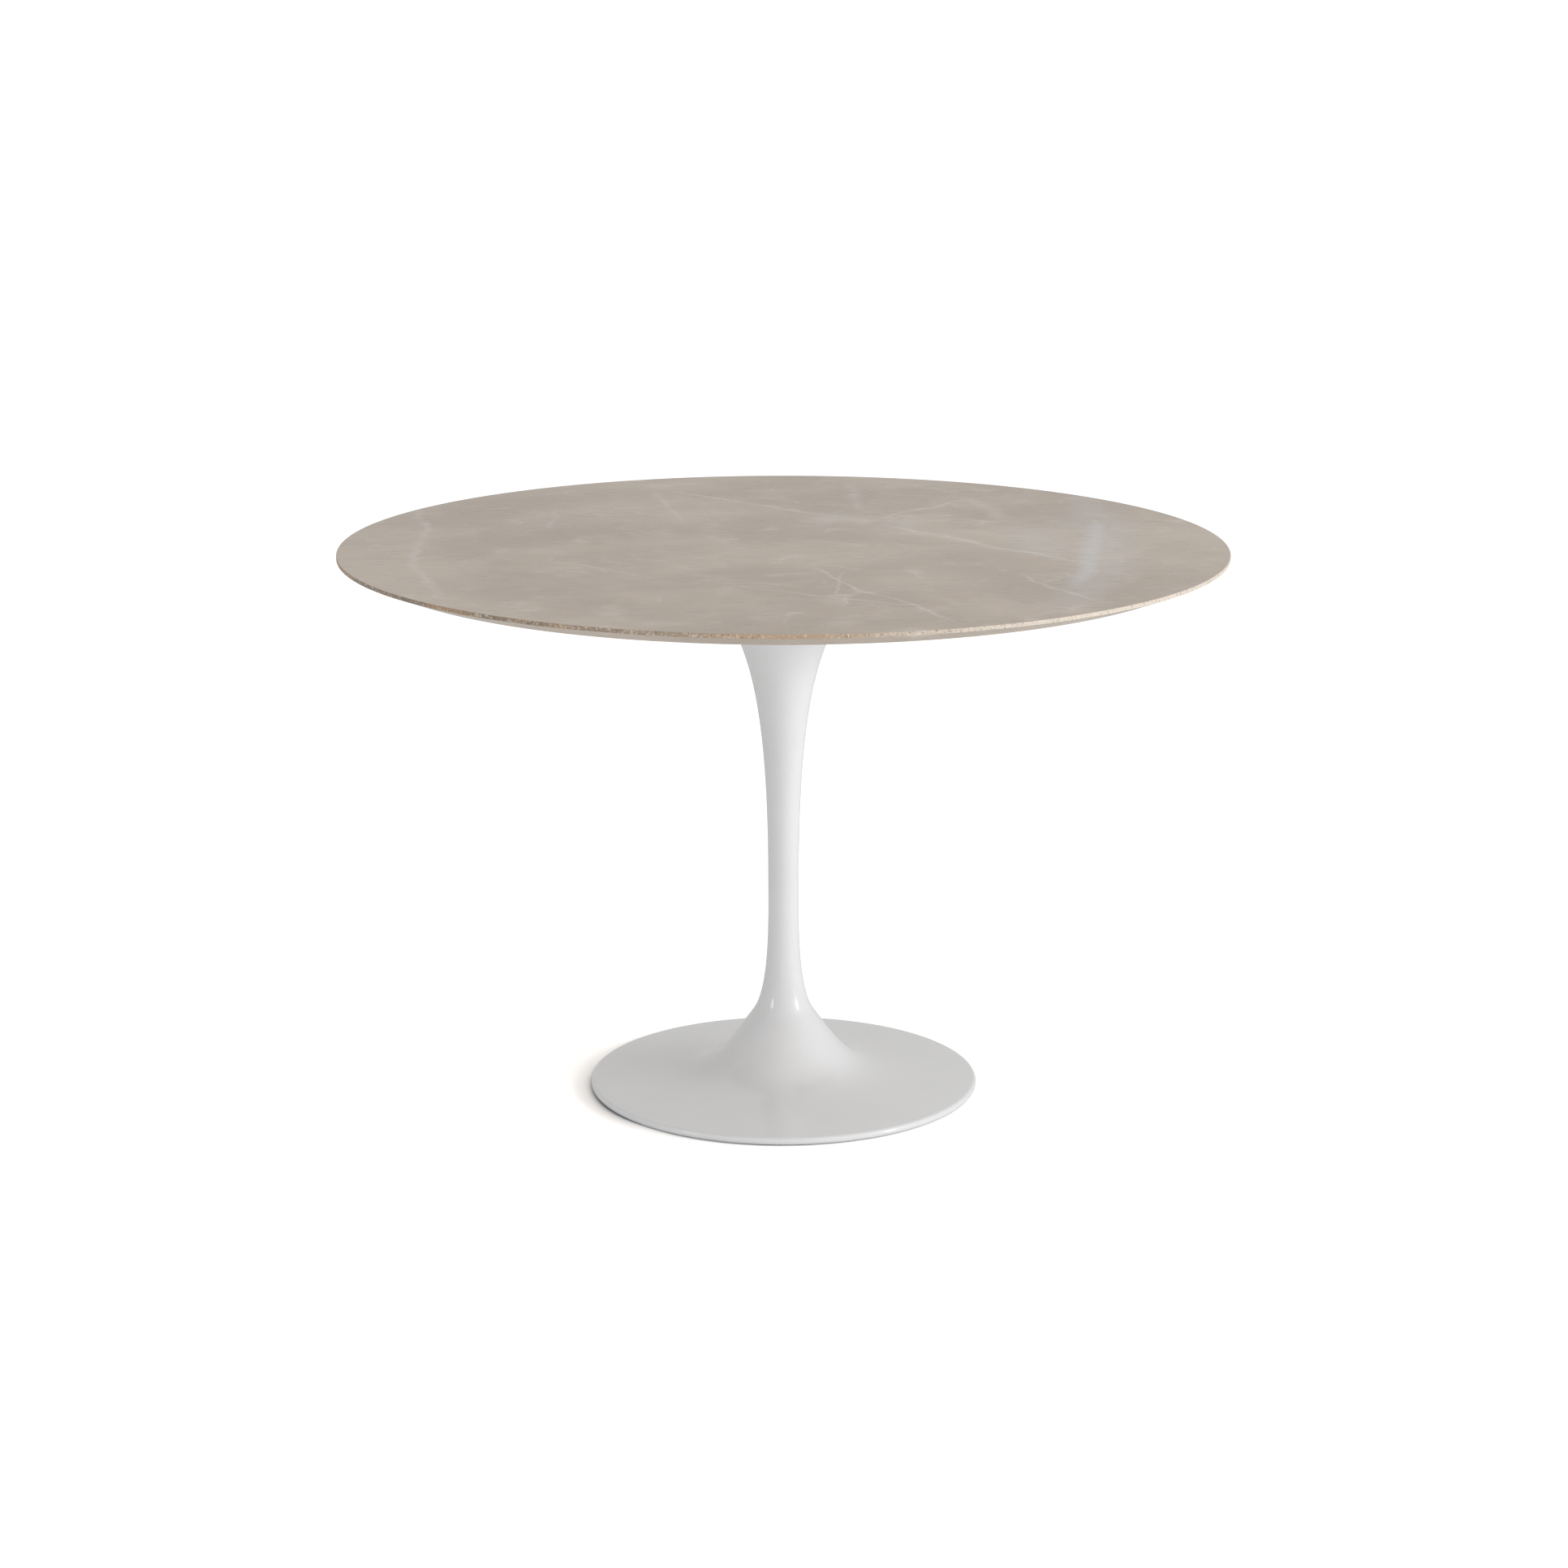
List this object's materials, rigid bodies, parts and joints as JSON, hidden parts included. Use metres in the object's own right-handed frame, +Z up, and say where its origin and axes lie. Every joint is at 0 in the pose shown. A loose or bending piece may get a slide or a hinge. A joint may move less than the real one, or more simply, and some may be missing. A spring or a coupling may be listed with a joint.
{
  "type": "round pedestal table",
  "caption": "Round stone-topped table on one white trumpet-shaped metal pedestal with a wide round foot.",
  "frame": {"origin": "on the floor at the centre of the foot, under the middle of the top", "axes": "+Z up along the stem; the front is -Y; the table is round, so X and Y only place the stone's veins and the levellers"},
  "size_m": [1.1998, 1.2, 0.762],
  "materials": {
    "stone": "satin",
    "white_lacquer": "gloss",
    "white_plate": "satin",
    "brass": "satin",
    "cork": "matte",
    "bare_steel": "satin",
    "spring_steel": "satin",
    "zinc_screws": "satin",
    "zinc_rod": "satin",
    "black_sheet": "matte",
    "clear_nylon": "matte",
    "black_nylon": "matte"
  },
  "bodies": {
    "table": {"table_top": "stone", "top_inserts": "brass", "isolation_sheet": "cork", "mounting_plate": "white_plate", "plate_hub": "bare_steel", "plate_screws": "zinc_screws", "plate_washers": "zinc_screws", "dowel_pins": "bare_steel", "pedestal_casting": "white_lacquer", "tie_rod": "zinc_rod", "clamp_plate": "bare_steel", "rod_washer": "zinc_rod", "rod_spring_washer": "spring_steel", "rod_nut": "zinc_rod", "foot_cover": "black_sheet", "cover_screws": "zinc_screws", "glide_ring": "clear_nylon", "leveller_bushes": "brass"},
    "leveller_pad_1": {"leveller_pad_1": "black_nylon"},
    "leveller_stud_1": {"leveller_stud_1": "zinc_screws"},
    "leveller_pad_2": {"leveller_pad_2": "black_nylon"},
    "leveller_stud_2": {"leveller_stud_2": "zinc_screws"},
    "leveller_pad_3": {"leveller_pad_3": "black_nylon"},
    "leveller_stud_3": {"leveller_stud_3": "zinc_screws"},
    "leveller_pad_4": {"leveller_pad_4": "black_nylon"},
    "leveller_stud_4": {"leveller_stud_4": "zinc_screws"}
  },
  "joints": [
    {"name": "leveller_drop_1", "type": "slide", "parent": "table", "child": "leveller_pad_1", "axis": [0, 0, -1], "range_m": [0, 0.004]},
    {"name": "leveller_turn_1", "type": "hinge", "parent": "leveller_pad_1", "child": "leveller_stud_1", "pos_m": [-0.14496, -0.14496, 0.005], "axis": [0, 0, -1], "range_deg": [0, 1152]},
    {"name": "leveller_drop_2", "type": "slide", "parent": "table", "child": "leveller_pad_2", "axis": [0, 0, -1], "range_m": [0, 0.004]},
    {"name": "leveller_turn_2", "type": "hinge", "parent": "leveller_pad_2", "child": "leveller_stud_2", "pos_m": [0.14496, -0.14496, 0.005], "axis": [0, 0, -1], "range_deg": [0, 1152]},
    {"name": "leveller_drop_3", "type": "slide", "parent": "table", "child": "leveller_pad_3", "axis": [0, 0, -1], "range_m": [0, 0.004]},
    {"name": "leveller_turn_3", "type": "hinge", "parent": "leveller_pad_3", "child": "leveller_stud_3", "pos_m": [0.14496, 0.14496, 0.005], "axis": [0, 0, -1], "range_deg": [0, 1152]},
    {"name": "leveller_drop_4", "type": "slide", "parent": "table", "child": "leveller_pad_4", "axis": [0, 0, -1], "range_m": [0, 0.004]},
    {"name": "leveller_turn_4", "type": "hinge", "parent": "leveller_pad_4", "child": "leveller_stud_4", "pos_m": [-0.14496, 0.14496, 0.005], "axis": [0, 0, -1], "range_deg": [0, 1152]}
  ],
  "couplings": [
    {"joint": "leveller_turn_1", "follows": "leveller_drop_1", "rad_per_m": 5026.5},
    {"joint": "leveller_turn_2", "follows": "leveller_drop_2", "rad_per_m": 5026.5},
    {"joint": "leveller_turn_3", "follows": "leveller_drop_3", "rad_per_m": 5026.5},
    {"joint": "leveller_turn_4", "follows": "leveller_drop_4", "rad_per_m": 5026.5}
  ]
}
